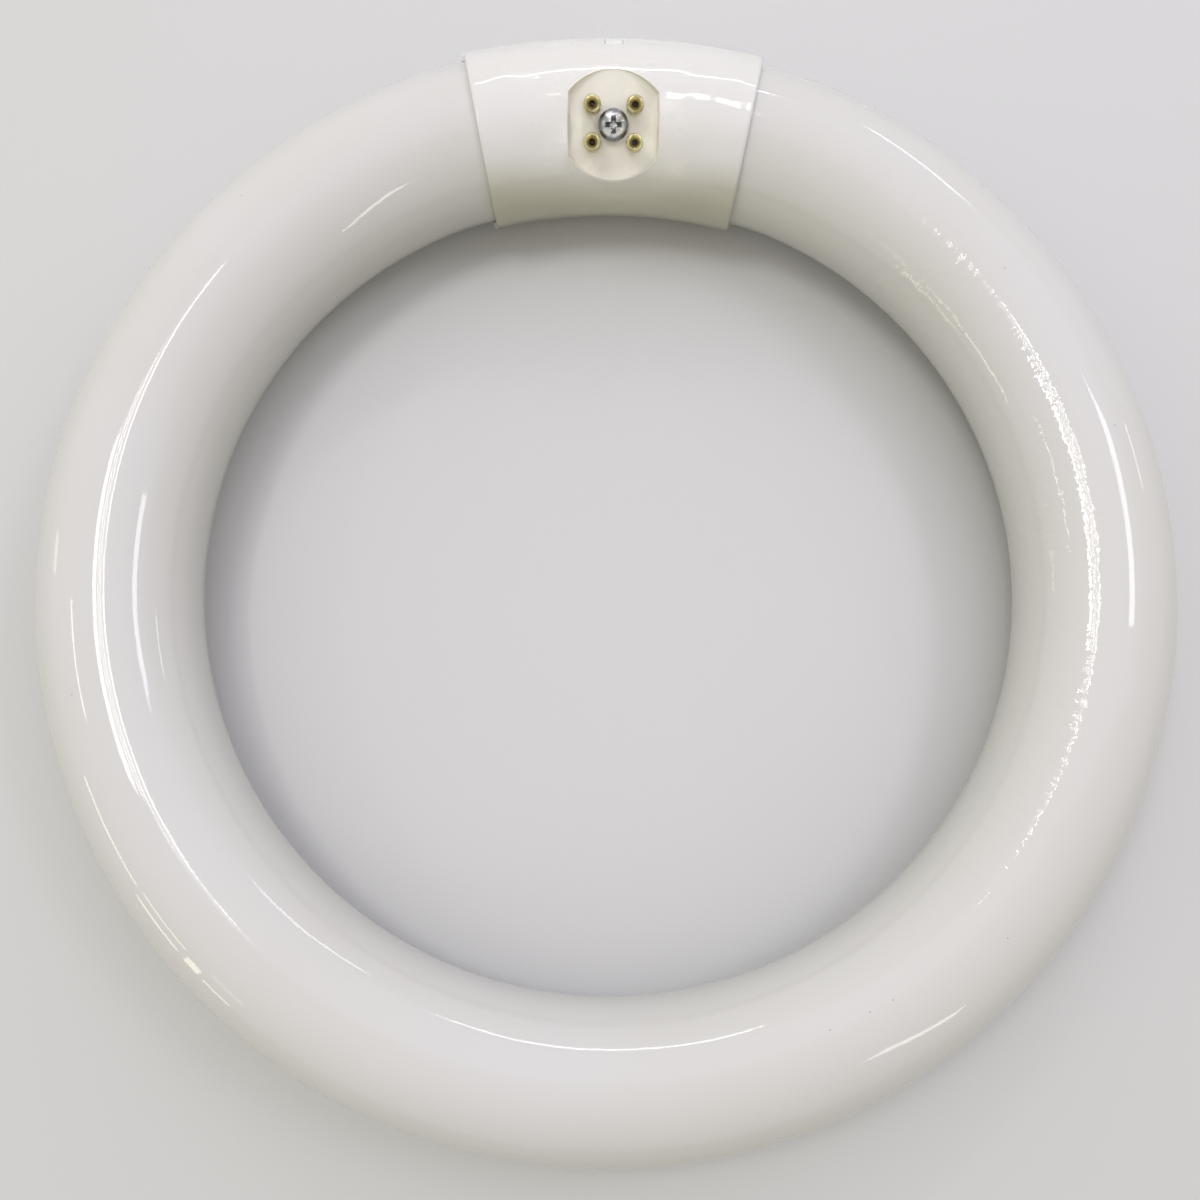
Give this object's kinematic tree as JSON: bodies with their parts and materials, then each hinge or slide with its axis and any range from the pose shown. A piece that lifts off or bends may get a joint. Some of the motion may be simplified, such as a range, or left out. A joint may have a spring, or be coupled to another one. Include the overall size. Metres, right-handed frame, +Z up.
{
  "type": "circular fluorescent tube",
  "caption": "Ring-shaped fluorescent lamp: a white opal glass tube bent into a circle, its ends joined in a plastic cap with brass contact pins in a shallow pocket.",
  "frame": {"origin": "on the surface that the lamp lies on, under the centre of the ring", "axes": "+Z up along the ring's axis, to the side that the pins lean to; +Y from the ring's centre to the cap; +X along the tube at the cap"},
  "size_m": [0.2134, 0.2141, 0.035],
  "materials": {
    "opal_glass": "gloss",
    "cap_plastic": "gloss",
    "pin_brass": "polished",
    "screw_zinc": "bright zinc",
    "lead_metal": "plain wire"
  },
  "bodies": {
    "root": {"glass_tube": "opal_glass", "cap_front_half": "cap_plastic", "cap_back_half": "cap_plastic", "cap_screw": "screw_zinc", "contact_pin_left_outer": "pin_brass", "lead_wire_left_outer": "lead_metal", "contact_pin_left_inner": "pin_brass", "lead_wire_left_inner": "lead_metal", "contact_pin_right_outer": "pin_brass", "lead_wire_right_outer": "lead_metal", "contact_pin_right_inner": "pin_brass", "lead_wire_right_inner": "lead_metal"}
  },
  "joints": []
}
